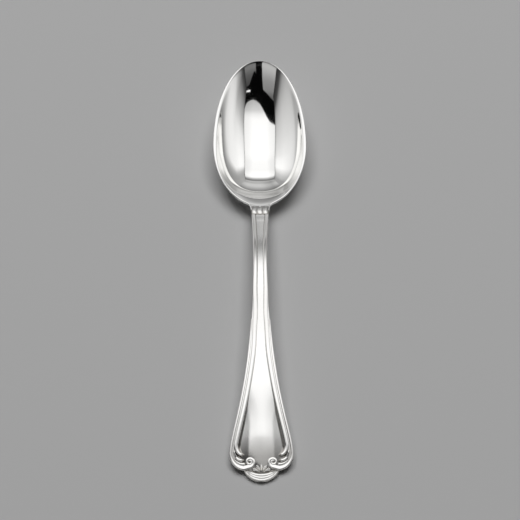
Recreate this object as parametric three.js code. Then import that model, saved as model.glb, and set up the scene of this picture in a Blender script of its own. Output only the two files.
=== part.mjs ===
// A child's table spoon: an egg-shaped bowl on an arched handle with a lobed end. Raised threads run
// along the handle's edges and end in scrolls on both sides of a palmette.
// Millimetres, +Z up, bowl tip towards +Y. The origin is on the table, under the middle of the spoon.
// Plan positions are given as x, from the middle line, and s, from the handle's end along the spoon.

import * as THREE from 'three';
import { LoftGeometry } from 'three/addons/geometries/LoftGeometry.js';

const { degToRad, lerp, radToDeg, smoothstep } = THREE.MathUtils;

// Overall
const LENGTH = 160;
const SOLDER_GAP = 0.1; // between pieces that are soldered together

// Bowl
const BOWL_WIDTH = 34.8;
const BOWL_TIP_RUN = 32.2; // widest place to the tip
const BOWL_HEEL_RUN = 22.9; // widest place to the heel
const BOWL_TIP_FULLNESS = 2.05; // 2 is an ellipse, more is squarer
const BOWL_HEEL_FULLNESS = 1.95;
const HOLLOW_HEEL_FULLNESS = 2.35;
const BOWL_DEPTH = 8;
const BOWL_HOLLOW = 2.8; // power of the hollow's curve
const BOWL_WALL = 1.5; // at the deepest place
const BOWL_PITCH = 13; // degrees, tip up
const BELLY_FLAT = 0.3; // depth of the flat that the belly rests on
const LIP_SIDE = 1.1;
const LIP_TIP = 0.8;
const LIP_HEEL = 5.3;
const LIP_EDGE = 0.5; // height of the lip's outer edge

// Neck
const NECK_WIDTH = 6.75;
const NECK_SLOPE = 12; // degrees, up towards the handle
const NECK_TURN = 9; // length over which the lip's plane turns into the neck's slope
const NECK_BLEND = 1.2; // softness of the corner between neck and bowl
const TONGUE_LENGTH = 2.4; // bowl metal that reaches back over the handle's drop
const TONGUE_THICKNESS = 1.2;
const DROP_LENGTH = 9.5;
const DROP_END_THICKNESS = 0.5;
const DROP_INSET = 0.3; // the drop is narrower than the neck by this on each side
const COLLAR_LENGTH = 3.4;
const COLLAR_OVERLAP = 1.9; // part of the collar that lies on the bowl's tongue
const COLLAR_INSET = 0.2;
const COLLAR_RISE = 0.7;

// Handle
const WAIST_WIDTH = 5.1;
const WAIST_BEFORE_NECK = 20;
const CREST_BEFORE_NECK = 39; // highest place of the arch
const CREST_ROUNDING = 30; // the handle is nearly straight beyond this distance from the crest
const END_HEIGHT = 1.2;
const END_THICKNESS = 2.2;
const NECK_THICKNESS = 3.2;
const EDGE_THICKNESS = 1.8;
const STEM_TAPER = 0.666; // how long the stem keeps its waist, as a share of the taper
const LOBE_TAPER = 0.118; // how long the side lobe keeps its width

// Lobed end
const END_LOBE_RADIUS = 7.1;
const SIDE_LOBE_RADIUS = 5.5;
const SIDE_LOBE_X = 5.7;
const SIDE_LOBE_S = 9.3;

// Threads and panel
const OUTER_THREAD_WIDTH = 0.85;
const OUTER_THREAD_TIP = 0.35; // its width where it starts
const OUTER_THREAD_RISE = 0.6;
const OUTER_THREAD_AFTER_WAIST = 25; // waist to the place where it starts
const OUTER_THREAD_FADE = 14; // length over which it reaches its full width
const THREAD_GROOVE = 0.3;
const INNER_THREAD_WIDTH = 1.55;
const INNER_THREAD_RISE = 0.75;
const STEM_GROOVE = 0.15; // between thread and panel on the stem
const VALLEY_WIDTH = 1.8; // between thread and panel on the wide part
const VALLEY_AFTER_WAIST = 19; // waist to the place where the groove starts to widen
const VALLEY_RUN = 27; // length over which it widens
const PANEL_RISE = 0.65;
const PANEL_ROUNDING = 6; // length of the panel's round end

// Scrolls and palmette, with angles in degrees
const ARM_WIDTH = 1.25; // the thread between the side lobe and the volute
const VOLUTE_X = 4.1;
const VOLUTE_S = 6.8;
const VOLUTE_RADIUS = 1.5;
const VOLUTE_EYE_RADIUS = 0.6;
const VOLUTE_END_WIDTH = 0.7;
const VOLUTE_TURN = 300;
const LOBE_WRAP = 84; // how far the outer thread follows the side lobe
const HOOK_START = 13.2;
const HOOK_EYE_RADIUS = 0.9;
const HOOK_END_WIDTH = 0.95;
const HOOK_END_ANGLE = 7;
const LEAF_WIDTH = 1;
const LEAF_TIP = 0.4; // width where a leaf leaves the outer thread
const LEAF_GROOVE = 0.2;
const LEAF_RISE = 0.7;
const UPPER_LEAF_CURL = 2; // how far a leaf draws in from its start to its end
const UPPER_LEAF_END_ANGLE = 68;
const LOWER_LEAF_CURL = 0.9;
const LOWER_LEAF_END_ANGLE = 92;
const RIPPLE_COUNT = 3;
const RIPPLE_WIDTH = 0.85;
const RIPPLE_RISE = 0.55;
const RIPPLE_ARC = 10.4; // radius of the innermost ripple's inner edge
const PETAL_COUNT = 5;
const PETAL_RISE = 0.7;
const PETAL_ROOT_GAP = 0.3; // ripples to the root of the petals
const PETAL_CLEARANCE = 0.25; // petals to the scroll arms
const PALMETTE_HEIGHT = 2.7;
const PETAL_SCALLOP = 0.18; // share of a petal's length that its round tip takes

// Plating
const SILVER = 0xd9d8d4;
const POLISH = 0.12;

// Steps in which the curves are drawn
const TONGUE_STEPS = 3;
const HEEL_STEPS = 12;
const TIP_STEPS = 14;
const TIP_LAST_ANGLE = 84; // degrees round the tip at the last full section
const TIP_BLUNT_ANGLE = 87; // degrees at which the tip and the handle's end are cut square
const LOBE_STEPS = 8;
const LOBE_FIRST_ANGLE = 8; // degrees round a side lobe at its first section
const TAPER_STEPS = 26;
const NECK_STEPS = 8;
const DROP_STEPS = 8;
const DROP_LAST_SHARE = 0.98; // share of the drop's length at its blunt end
const EDGE_STEPS = 18;
const THREAD_STEPS = 34;
const CURL_STEPS = 14;
const HOOK_STEPS = 8;
const LEAF_STEPS = 10;
const RIPPLE_STEPS = 18;
const STEPS_PER_RIPPLE = 4;
const STEPS_PER_PETAL = 6;
const COLLAR_STEPS = 4;
const BISECTIONS = 40; // halvings when a curve is searched for a place

// Places that follow from the sizes above
const bowlS = LENGTH - BOWL_TIP_RUN;
const heelS = bowlS - BOWL_HEEL_RUN;
const neckS = heelS - TONGUE_LENGTH;
const crestS = neckS - CREST_BEFORE_NECK;
const waistS = neckS - WAIST_BEFORE_NECK;
const collarStart = neckS + COLLAR_OVERLAP - COLLAR_LENGTH;
const threadEnd = collarStart - SOLDER_GAP;
const panelEnd = VOLUTE_S + VOLUTE_RADIUS + ARM_WIDTH / 2 + THREAD_GROOVE;
const outerThreadStart = waistS - OUTER_THREAD_AFTER_WAIST;
const valleyStart = waistS - VALLEY_AFTER_WAIST;
const pitchSlope = Math.tan(degToRad(BOWL_PITCH));
const neckSlope = Math.tan(degToRad(NECK_SLOPE));
const outerDepth = BOWL_DEPTH + BOWL_WALL;

// A larger-of-two that rounds the corner where the two cross.
function smoothMax(a, b, blend) {
  return (a + b + Math.hypot(a - b, 2 * blend)) / 2;
}

function steps(from, to, count) {
  return Array.from({ length: count + 1 }, (_, i) => lerp(from, to, i / count));
}

function spacePoint(x, s, z) {
  return new THREE.Vector3(x, s - LENGTH / 2, z);
}

// Height of the lip's plane above the table, in the middle of the bowl. The belly's lowest place sits
// BELLY_FLAT under the table before it is cut flat.
const bellyRun = BOWL_HEEL_RUN
  * Math.pow((pitchSlope * BOWL_HEEL_RUN) / (BOWL_HOLLOW * (outerDepth - LIP_EDGE)), 1 / (BOWL_HOLLOW - 1));
const bellyDrop = pitchSlope * bellyRun + LIP_EDGE
  + (outerDepth - LIP_EDGE) * (1 - Math.pow(bellyRun / BOWL_HEEL_RUN, BOWL_HOLLOW));
const lipHeight = bellyDrop - BELLY_FLAT;

// The lip is level across. Towards the neck it turns up out of its plane.
function lipZ(s) {
  const turned = Math.max(0, neckS + NECK_TURN - s);
  const turn = (pitchSlope + neckSlope) * turned * turned / (2 * NECK_TURN);
  return lipHeight + pitchSlope * (s - bowlS) + turn;
}

// Two ovals, each of a tip half and a heel half: the bowl's outer edge, and the hollow inside its lip.
const outerOval = {
  halfWidth: BOWL_WIDTH / 2,
  tip: { run: BOWL_TIP_RUN, fullness: BOWL_TIP_FULLNESS },
  heel: { run: BOWL_HEEL_RUN, fullness: BOWL_HEEL_FULLNESS },
};
const hollowOval = {
  halfWidth: BOWL_WIDTH / 2 - LIP_SIDE,
  tip: { run: BOWL_TIP_RUN - LIP_TIP, fullness: BOWL_TIP_FULLNESS },
  heel: { run: BOWL_HEEL_RUN - LIP_HEEL, fullness: HOLLOW_HEEL_FULLNESS },
};

// How far a plan point lies from the middle (0) to the edge (1) of an oval.
function ovalReach(oval, x, s) {
  const { run, fullness } = s > bowlS ? oval.tip : oval.heel;
  const across = Math.pow(Math.abs(x) / oval.halfWidth, fullness);
  const along = Math.pow(Math.abs(s - bowlS) / run, fullness);
  return Math.pow(across + along, 1 / fullness);
}

function ovalHalfWidth(oval, s) {
  const { run, fullness } = s > bowlS ? oval.tip : oval.heel;
  const along = Math.pow(Math.abs(s - bowlS) / run, fullness);
  return oval.halfWidth * Math.pow(Math.max(0, 1 - along), 1 / fullness);
}

function bowlTopZ(x, s) {
  return lipZ(s) - BOWL_DEPTH * Math.max(0, 1 - Math.pow(ovalReach(hollowOval, x, s), BOWL_HOLLOW));
}

function bowlEdge(s) {
  return lerp(TONGUE_THICKNESS, LIP_EDGE, smoothstep(s, heelS, heelS + DROP_LENGTH));
}

function bowlUnderZ(x, s) {
  const edge = bowlEdge(s);
  const hollow = Math.max(0, 1 - Math.pow(ovalReach(outerOval, x, s), BOWL_HOLLOW));
  return lipZ(s) - edge - (outerDepth - edge) * hollow;
}

// Half width of the neck between the stem's waist and the bowl.
function neckHalfWidth(s) {
  const flare = (s - waistS) / (neckS - waistS);
  return WAIST_WIDTH / 2 + ((NECK_WIDTH - WAIST_WIDTH) / 2) * flare * flare;
}

// Half width of the bowl's edge, with a soft corner where the neck runs into it.
function bowlHalfWidth(s) {
  const neck = neckHalfWidth(Math.min(s, heelS));
  const blend = NECK_BLEND * smoothstep(s, neckS, heelS) * (1 - smoothstep(s, heelS, bowlS));
  return s > bowlS ? ovalHalfWidth(outerOval, s) : smoothMax(ovalHalfWidth(outerOval, s), neck, blend);
}

// Half width of the handle between its side lobes and the waist, as one curve.
const taperLength = waistS - SIDE_LOBE_S;
const endHalfWidth = SIDE_LOBE_X + SIDE_LOBE_RADIUS;
const taperCurve = new THREE.CubicBezierCurve(
  new THREE.Vector2(SIDE_LOBE_S, endHalfWidth),
  new THREE.Vector2(SIDE_LOBE_S + LOBE_TAPER * taperLength, endHalfWidth),
  new THREE.Vector2(waistS - STEM_TAPER * taperLength, WAIST_WIDTH / 2),
  new THREE.Vector2(waistS, WAIST_WIDTH / 2),
);

function taperHalfWidth(s) {
  let low = 0;
  let high = 1;
  for (let i = 0; i < BISECTIONS; i++) {
    const middle = (low + high) / 2;
    if (taperCurve.getPoint(middle).x < s) low = middle;
    else high = middle;
  }
  return taperCurve.getPoint(low).y;
}

function handleHalfWidth(s) {
  if (s > waistS) return neckHalfWidth(s);
  if (s > SIDE_LOBE_S) return taperHalfWidth(s);
  const sideLobe = SIDE_LOBE_RADIUS ** 2 - (SIDE_LOBE_S - s) ** 2;
  if (sideLobe > 0) return SIDE_LOBE_X + Math.sqrt(sideLobe);
  return Math.sqrt(END_LOBE_RADIUS ** 2 - (END_LOBE_RADIUS - s) ** 2);
}

// Height of the handle's field, which carries the raised work: a parabola from the neck to the crest,
// then a slope that gets straight towards the end.
const crestHeight = lipZ(neckS) + neckSlope * CREST_BEFORE_NECK / 2;

function crestFall(run) {
  return Math.hypot(run, CREST_ROUNDING) - CREST_ROUNDING;
}

function fieldZ(s) {
  if (s < crestS) return crestHeight - (crestHeight - END_HEIGHT) * crestFall(crestS - s) / crestFall(crestS);
  return crestHeight - neckSlope * (s - crestS) ** 2 / (2 * CREST_BEFORE_NECK);
}

function handleThickness(s) {
  return lerp(END_THICKNESS, NECK_THICKNESS, (s / neckS) ** 2);
}

function outerThreadWidth(s) {
  const fade = smoothstep(s, outerThreadStart - OUTER_THREAD_FADE, outerThreadStart);
  return lerp(OUTER_THREAD_WIDTH, OUTER_THREAD_TIP, fade);
}

// Distance from the handle's edge to the outer edge of the inner thread, which moves out to the edge
// on the stem.
function innerThreadInset(s) {
  const beside = 1 - smoothstep(s, outerThreadStart, outerThreadStart + OUTER_THREAD_FADE);
  return (outerThreadWidth(s) + THREAD_GROOVE) * beside;
}

function panelHalfWidth(s) {
  const valley = lerp(VALLEY_WIDTH, STEM_GROOVE, smoothstep(s, valleyStart - VALLEY_RUN, valleyStart));
  const halfWidth = handleHalfWidth(s) - innerThreadInset(s) - INNER_THREAD_WIDTH - valley;
  const roundness = Math.min(1, Math.max(0, (s - panelEnd) / PANEL_ROUNDING));
  return halfWidth * Math.sqrt(1 - (1 - roundness) ** 2);
}

function panelRise(s) {
  const towardsEnd = smoothstep(s, panelEnd, panelEnd + PANEL_ROUNDING);
  const towardsNeck = 1 - smoothstep(s, threadEnd - COLLAR_LENGTH, threadEnd);
  return PANEL_RISE * towardsEnd * towardsNeck;
}

// The bowl, as sections across it from the tongue to the tip. The top of each section follows the lip
// and the hollow, the bottom the outer skin.
const hollowShares = [0.2, 0.46, 0.7, 0.88, 1];
const skinShares = [1, 0.94, 0.82, 0.62, 0.38, 0.12];
const leastHollowShare = 0.3; // keeps the section's points apart where there is no hollow

function bowlStations() {
  const tongue = steps(neckS, heelS, TONGUE_STEPS).slice(0, -1);
  const heel = steps(0, 90, HEEL_STEPS).map((angle) => bowlS - BOWL_HEEL_RUN * Math.cos(degToRad(angle)));
  const tip = steps(0, TIP_LAST_ANGLE, TIP_STEPS).map((angle) => {
    return bowlS + BOWL_TIP_RUN * Math.sin(degToRad(angle));
  });
  return [...tongue, ...heel, ...tip.slice(1)];
}

function bowlSection(s, width) {
  const hollow = Math.max(ovalHalfWidth(hollowOval, s), leastHollowShare * width);
  const topRight = [...hollowShares.map((share) => share * hollow), width];
  const topXs = [...topRight.map((x) => -x).reverse(), 0, ...topRight];
  const underRight = skinShares.map((share) => share * width);
  const underXs = [...underRight, ...underRight.map((x) => -x).reverse()];
  const top = topXs.map((x) => spacePoint(x, s, bowlTopZ(x, s)));
  const under = underXs.map((x) => spacePoint(x, s, Math.max(0, bowlUnderZ(x, s))));
  return [...top, ...under];
}

function bowlGeometry() {
  const sections = bowlStations().map((s) => bowlSection(s, bowlHalfWidth(s)));
  const tipWidth = BOWL_WIDTH / 2 * Math.cos(degToRad(TIP_BLUNT_ANGLE));
  sections.push(bowlSection(LENGTH, tipWidth));
  return new LoftGeometry(sections, { capStart: true, capEnd: true });
}

// The handle, as sections from its end to the neck and on into the drop under the bowl. The top of each
// section has the flat field on both sides of the domed panel.
const panelShares = [-1, -0.7, -0.36, 0, 0.36, 0.7, 1];
const underShares = [1, 0.82, 0.46, 0, -0.46, -0.82, -1];
const dropCrown = 0.75; // share of the drop's thickness that is lost towards its sides
const dropTopShare = 0.8; // where the drop's top meets the slope of its sides

function handleSection(s, halfWidth) {
  const field = fieldZ(s);
  const panel = Math.max(panelHalfWidth(s), STEM_GROOVE);
  const rise = panelRise(s);
  const thickness = handleThickness(s);
  const top = panelShares.map((u) => spacePoint(u * panel, s, field + rise * (1 - u * u)));
  const under = underShares.map((u) => {
    const z = field - lerp(thickness, EDGE_THICKNESS, u * u);
    return spacePoint(u * halfWidth, s, Math.max(0, z));
  });
  return [spacePoint(-halfWidth, s, field), ...top, spacePoint(halfWidth, s, field), ...under];
}

function dropSection(s) {
  const along = (s - neckS) / DROP_LENGTH;
  const halfWidth = (NECK_WIDTH / 2 - DROP_INSET) * Math.sqrt(1 - along * along);
  const startThickness = NECK_THICKNESS - TONGUE_THICKNESS - SOLDER_GAP;
  const thickness = lerp(startThickness, DROP_END_THICKNESS, along);
  const topZ = (x) => bowlUnderZ(x, s) - SOLDER_GAP;
  const topShares = [-1, ...panelShares.map((u) => dropTopShare * u), 1];
  const top = topShares.map((u) => spacePoint(u * halfWidth, s, topZ(u * halfWidth)));
  const under = underShares.map((u) => {
    return spacePoint(u * halfWidth, s, topZ(u * halfWidth) - thickness * (1 - dropCrown * u * u));
  });
  return [...top, ...under];
}

function handleStations() {
  const sideLobe = steps(LOBE_FIRST_ANGLE, 90, LOBE_STEPS).map((angle) => {
    return SIDE_LOBE_S - SIDE_LOBE_RADIUS * Math.cos(degToRad(angle));
  });
  const notchAngle = Math.acos(Math.max(-1, 1 - sideLobe[0] / END_LOBE_RADIUS));
  const endLobe = steps(0, notchAngle, LOBE_STEPS).map((angle) => END_LOBE_RADIUS * (1 - Math.cos(angle)));
  const taper = steps(SIDE_LOBE_S, waistS, TAPER_STEPS).slice(1);
  const neck = steps(waistS, neckS - SOLDER_GAP, NECK_STEPS).slice(1);
  return [...endLobe.slice(1, -1), ...sideLobe, ...taper, ...neck];
}

function handleGeometry() {
  const endWidth = END_LOBE_RADIUS * Math.cos(degToRad(TIP_BLUNT_ANGLE));
  const sections = [handleSection(0, endWidth)];
  handleStations().forEach((s) => sections.push(handleSection(s, handleHalfWidth(s))));
  steps(0, DROP_LAST_SHARE, DROP_STEPS).forEach((share) => {
    sections.push(dropSection(neckS + share * DROP_LENGTH));
  });
  return new LoftGeometry(sections, { capStart: true, capEnd: true });
}

// A raised rib along a plan path of points with x, s and width. Its section is flat below and domed
// above, and it seats on the field.
const ribShares = [-1, -0.72, -0.26, 0.26, 0.72, 1];
const ribShoulder = 0.3; // share of the rise at which the dome starts

function domed(u) {
  return ribShoulder + (1 - ribShoulder) * Math.sqrt(1 - u * u);
}

function ribGeometry(path, rise) {
  const sections = path.map((point, i) => {
    const before = path[Math.max(0, i - 1)];
    const after = path[Math.min(path.length - 1, i + 1)];
    const along = new THREE.Vector2(after.x - before.x, after.s - before.s).normalize();
    const place = (u, height) => {
      const x = point.x + along.y * u * point.width / 2;
      const s = point.s - along.x * u * point.width / 2;
      return spacePoint(x, s, fieldZ(s) + SOLDER_GAP + height);
    };
    const top = ribShares.map((u) => place(u, rise * domed(u)));
    return [...top, place(1, 0), place(-1, 0)];
  });
  return new LoftGeometry(sections, { capStart: true, capEnd: true });
}

function onSide(path, side) {
  return path.map((point) => ({ ...point, x: side * point.x }));
}

// Plan point at a radius and an angle below level, seen from the right side lobe's centre.
function lobePoint(radius, angle, width) {
  const x = SIDE_LOBE_X + radius * Math.cos(degToRad(angle));
  const s = SIDE_LOBE_S - radius * Math.sin(degToRad(angle));
  return { x, s, width };
}

// Outer thread: along the edge, round the side lobe, then straight to the volute and round its eye.
function outerThreadPath() {
  const edge = steps(outerThreadStart, SIDE_LOBE_S, EDGE_STEPS).map((s) => {
    const width = outerThreadWidth(s);
    return { x: handleHalfWidth(s) - width / 2, s, width };
  });
  const lobe = steps(0, LOBE_WRAP, LOBE_STEPS).map((angle) => {
    const width = lerp(OUTER_THREAD_WIDTH, ARM_WIDTH, smoothstep(angle, 0, LOBE_WRAP));
    return lobePoint(SIDE_LOBE_RADIUS - width / 2, angle, width);
  });
  return [...edge, ...lobe.slice(1), ...voluteFrom(lobe[lobe.length - 1])];
}

// The arm leaves its start along the tangent of the volute's circle.
function voluteFrom(start) {
  const eye = new THREE.Vector2(VOLUTE_X, VOLUTE_S);
  const toEye = new THREE.Vector2(VOLUTE_X - start.x, VOLUTE_S - start.s);
  const armAngle = toEye.angle() + Math.asin(VOLUTE_RADIUS / toEye.length());
  const armLength = Math.sqrt(toEye.lengthSq() - VOLUTE_RADIUS ** 2);
  const arm = [1 / 3, 2 / 3].map((share) => ({
    x: start.x + share * armLength * Math.cos(armAngle),
    s: start.s + share * armLength * Math.sin(armAngle),
    width: ARM_WIDTH,
  }));
  const curl = steps(0, 1, CURL_STEPS).map((t) => {
    const angle = armAngle + Math.PI / 2 - degToRad(VOLUTE_TURN * t);
    const radius = lerp(VOLUTE_RADIUS, VOLUTE_EYE_RADIUS, t);
    const width = lerp(ARM_WIDTH, VOLUTE_END_WIDTH, Math.sqrt(t));
    return { x: eye.x + radius * Math.cos(angle), s: eye.y + radius * Math.sin(angle), width };
  });
  return [...arm, ...curl];
}

// Inner thread: along the stem and the panel, then a hook towards the side lobe's centre.
const hookStart = {
  x: handleHalfWidth(HOOK_START) - innerThreadInset(HOOK_START) - INNER_THREAD_WIDTH / 2 - SIDE_LOBE_X,
  s: HOOK_START - SIDE_LOBE_S,
};
const hookRadius = Math.hypot(hookStart.x, hookStart.s);
const hookStartAngle = -radToDeg(Math.atan2(hookStart.s, hookStart.x));

function innerThreadPath() {
  const run = steps(threadEnd, HOOK_START, THREAD_STEPS).map((s) => {
    const x = handleHalfWidth(s) - innerThreadInset(s) - INNER_THREAD_WIDTH / 2;
    return { x, s, width: INNER_THREAD_WIDTH };
  });
  const hook = steps(0, 1, HOOK_STEPS).map((t) => {
    const width = lerp(INNER_THREAD_WIDTH, HOOK_END_WIDTH, t);
    return lobePoint(lerp(hookRadius, HOOK_EYE_RADIUS, t), lerp(hookStartAngle, HOOK_END_ANGLE, t), width);
  });
  return [...run, ...hook.slice(1)];
}

// Scroll leaves: thin where they leave the outer thread, full towards their end. Each starts where the
// curl above it has drawn in far enough to make room.
const leafStartRadius = SIDE_LOBE_RADIUS - OUTER_THREAD_WIDTH - THREAD_GROOVE - LEAF_TIP / 2;

function clearAngle(startRadius, endRadius, startAngle, endAngle, width) {
  const room = leafStartRadius - (LEAF_TIP + width) / 2 - LEAF_GROOVE;
  return lerp(startAngle, endAngle, (startRadius - room) / (startRadius - endRadius));
}

const upperLeafEndRadius = leafStartRadius - UPPER_LEAF_CURL;
const lowerLeafEndRadius = leafStartRadius - LOWER_LEAF_CURL;
const upperLeafStartAngle = clearAngle(
  hookRadius, HOOK_EYE_RADIUS, hookStartAngle, HOOK_END_ANGLE, INNER_THREAD_WIDTH,
);
const lowerLeafStartAngle = clearAngle(
  leafStartRadius, upperLeafEndRadius, upperLeafStartAngle, UPPER_LEAF_END_ANGLE, LEAF_WIDTH,
);

function leafPath(endRadius, startAngle, endAngle) {
  return steps(0, 1, LEAF_STEPS).map((t) => {
    const width = lerp(LEAF_TIP, LEAF_WIDTH, Math.sin(t * Math.PI / 2));
    return lobePoint(lerp(leafStartRadius, endRadius, t), lerp(startAngle, endAngle, t), width);
  });
}

const upperLeafPath = leafPath(upperLeafEndRadius, upperLeafStartAngle, UPPER_LEAF_END_ANGLE);
const lowerLeafPath = leafPath(lowerLeafEndRadius, lowerLeafStartAngle, LOWER_LEAF_END_ANGLE);

// Ripples that follow the end lobe, as one crescent between the two scroll arms. A section crosses all
// the ripples, which get narrower towards the crescent's ends.
const rippleOuterRadius = END_LOBE_RADIUS - SOLDER_GAP;
const rippleRootS = SOLDER_GAP + RIPPLE_COUNT * RIPPLE_WIDTH;

function rippleInnerRadius(angle) {
  const offset = rippleRootS + RIPPLE_ARC - END_LOBE_RADIUS;
  return Math.sqrt(RIPPLE_ARC ** 2 - (offset * Math.sin(angle)) ** 2) - offset * Math.cos(angle);
}

function rippleHalfAngle() {
  const angles = outerThreadPath().map(({ x, s, width }) => {
    const radius = Math.hypot(x, END_LOBE_RADIUS - s);
    const angle = Math.atan2(x, END_LOBE_RADIUS - s);
    const clearance = Math.asin((width / 2 + THREAD_GROOVE) / radius);
    return radius < rippleInnerRadius(angle) ? Math.PI : angle - clearance;
  });
  return Math.min(...angles);
}

function lobeMouldingGeometry() {
  const halfAngle = rippleHalfAngle();
  const sections = steps(halfAngle, -halfAngle, RIPPLE_STEPS).map((angle) => {
    const innerRadius = rippleInnerRadius(angle);
    const place = (radius, height) => {
      const s = END_LOBE_RADIUS - radius * Math.cos(angle);
      return spacePoint(radius * Math.sin(angle), s, fieldZ(s) + SOLDER_GAP + height);
    };
    const top = steps(0, 1, RIPPLE_COUNT * STEPS_PER_RIPPLE).map((t) => {
      const acrossRipple = Math.cos(Math.PI * RIPPLE_COUNT * t);
      return place(lerp(rippleOuterRadius, innerRadius, t), RIPPLE_RISE * domed(acrossRipple));
    });
    return [...top, place(innerRadius, 0), place(rippleOuterRadius, 0)];
  });
  return new LoftGeometry(sections, { capStart: true, capEnd: true });
}

// Palmette: petals that spread from a root above the ripples, as one fan. A section runs along a petal.
// The fan is as wide as the scroll arms allow, and opens until it meets the ripples.
const petalRootS = rippleRootS + PETAL_ROOT_GAP;
const petalRun = [[0.12, ribShoulder], [0.62, 1], [0.9, 0.75]]; // shares of length and of rise
const petalValley = 0.35; // height between two petals, as a share of a petal's

function palmetteHalfWidth() {
  const reaches = outerThreadPath().map(({ x, s, width }) => Math.hypot(x, s - petalRootS) - width / 2);
  return Math.min(...reaches) - PETAL_CLEARANCE;
}

function palmetteGeometry() {
  const halfWidth = palmetteHalfWidth();
  const fan = Math.acos(halfWidth / (2 * (RIPPLE_ARC - PETAL_ROOT_GAP)));
  const sections = steps(-fan, fan, PETAL_COUNT * STEPS_PER_PETAL).map((angle) => {
    const petal = Math.abs(Math.sin(Math.PI * PETAL_COUNT * (angle + fan) / (2 * fan)));
    const reach = 1 / Math.hypot(Math.sin(angle) / halfWidth, Math.cos(angle) / PALMETTE_HEIGHT);
    const length = reach * (1 - PETAL_SCALLOP * (1 - petal));
    const rise = PETAL_RISE * lerp(petalValley, 1, petal);
    const place = (share, height) => {
      const s = petalRootS + share * length * Math.cos(angle);
      return spacePoint(share * length * Math.sin(angle), s, fieldZ(s) + SOLDER_GAP + height);
    };
    const top = petalRun.map(([share, height]) => place(share, rise * height));
    const rim = place(1, PETAL_RISE * ribShoulder * petalValley);
    return [rim, ...top.reverse(), place(petalRun[0][0], 0), place(1, 0)];
  });
  return new LoftGeometry(sections, { capStart: true, capEnd: true });
}

// Collar over the seam of stem and bowl: three bosses side by side.
const bossShares = [-1, -0.84, -0.67, -0.5, -0.33, -0.16, 0, 0.16, 0.33, 0.5, 0.67, 0.84, 1];
const bossValley = 0.4; // height between two bosses, as a share of a boss's
const collarEnd = 0.45; // height at the collar's two ends, as a share of its middle

function collarGeometry() {
  const onStem = steps(collarStart, neckS, COLLAR_STEPS);
  const onTongue = steps(neckS, neckS + COLLAR_OVERLAP, COLLAR_STEPS);
  const sections = [...onStem, ...onTongue.slice(1)].map((s) => {
    const swell = lerp(collarEnd, 1, Math.sin(Math.PI * (s - collarStart) / COLLAR_LENGTH));
    const half = neckHalfWidth(Math.min(s, neckS)) - COLLAR_INSET;
    const seat = (s > neckS ? lipZ(s) : fieldZ(s)) + SOLDER_GAP;
    const top = bossShares.map((u) => {
      const boss = lerp(bossValley, 1, Math.abs(Math.cos(1.5 * Math.PI * u)));
      return spacePoint(u * half, s, seat + COLLAR_RISE * swell * boss);
    });
    return [...top, spacePoint(half, s, seat), spacePoint(-half, s, seat)];
  });
  return new LoftGeometry(sections, { capStart: true, capEnd: true });
}

function silver() {
  return new THREE.MeshStandardMaterial({ color: SILVER, roughness: POLISH, metalness: 1 });
}

function addPiece(group, name, geometry) {
  const mesh = new THREE.Mesh(geometry, silver());
  mesh.name = name;
  group.add(mesh);
}

const spoon = new THREE.Group();
spoon.name = 'child_spoon';
addPiece(spoon, 'bowl', bowlGeometry());
addPiece(spoon, 'handle', handleGeometry());
addPiece(spoon, 'neck_collar', collarGeometry());
addPiece(spoon, 'palmette', palmetteGeometry());
addPiece(spoon, 'lobe_moulding', lobeMouldingGeometry());
for (const [name, side] of [['left', -1], ['right', 1]]) {
  addPiece(spoon, `outer_thread_${name}`, ribGeometry(onSide(outerThreadPath(), side), OUTER_THREAD_RISE));
  addPiece(spoon, `inner_thread_${name}`, ribGeometry(onSide(innerThreadPath(), side), INNER_THREAD_RISE));
  addPiece(spoon, `upper_leaf_${name}`, ribGeometry(onSide(upperLeafPath, side), LEAF_RISE));
  addPiece(spoon, `lower_leaf_${name}`, ribGeometry(onSide(lowerLeafPath, side), LEAF_RISE));
}

export default spoon;
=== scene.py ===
import math

import bmesh
import bpy
from mathutils import Matrix, Vector


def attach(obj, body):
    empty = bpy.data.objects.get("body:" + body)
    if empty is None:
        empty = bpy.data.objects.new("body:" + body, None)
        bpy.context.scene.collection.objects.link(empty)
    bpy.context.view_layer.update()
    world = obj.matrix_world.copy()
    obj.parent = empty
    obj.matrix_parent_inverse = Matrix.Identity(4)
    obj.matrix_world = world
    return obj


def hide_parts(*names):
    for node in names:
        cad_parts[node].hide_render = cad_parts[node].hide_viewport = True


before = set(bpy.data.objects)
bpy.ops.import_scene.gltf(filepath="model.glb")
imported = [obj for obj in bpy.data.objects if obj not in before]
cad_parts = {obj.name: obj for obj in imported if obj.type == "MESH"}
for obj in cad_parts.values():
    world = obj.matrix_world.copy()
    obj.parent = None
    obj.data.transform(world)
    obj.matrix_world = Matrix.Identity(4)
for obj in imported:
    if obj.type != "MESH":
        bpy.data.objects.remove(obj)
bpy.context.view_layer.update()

# A child's table spoon of polished silver plate: an egg-shaped bowl on an arched handle with a lobed end.
# Sizes are in millimetres and angles in degrees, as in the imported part. Plan positions are x, from the
# middle line, and s, from the handle's end along the spoon.
MM = 0.001
LENGTH = 160

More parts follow.
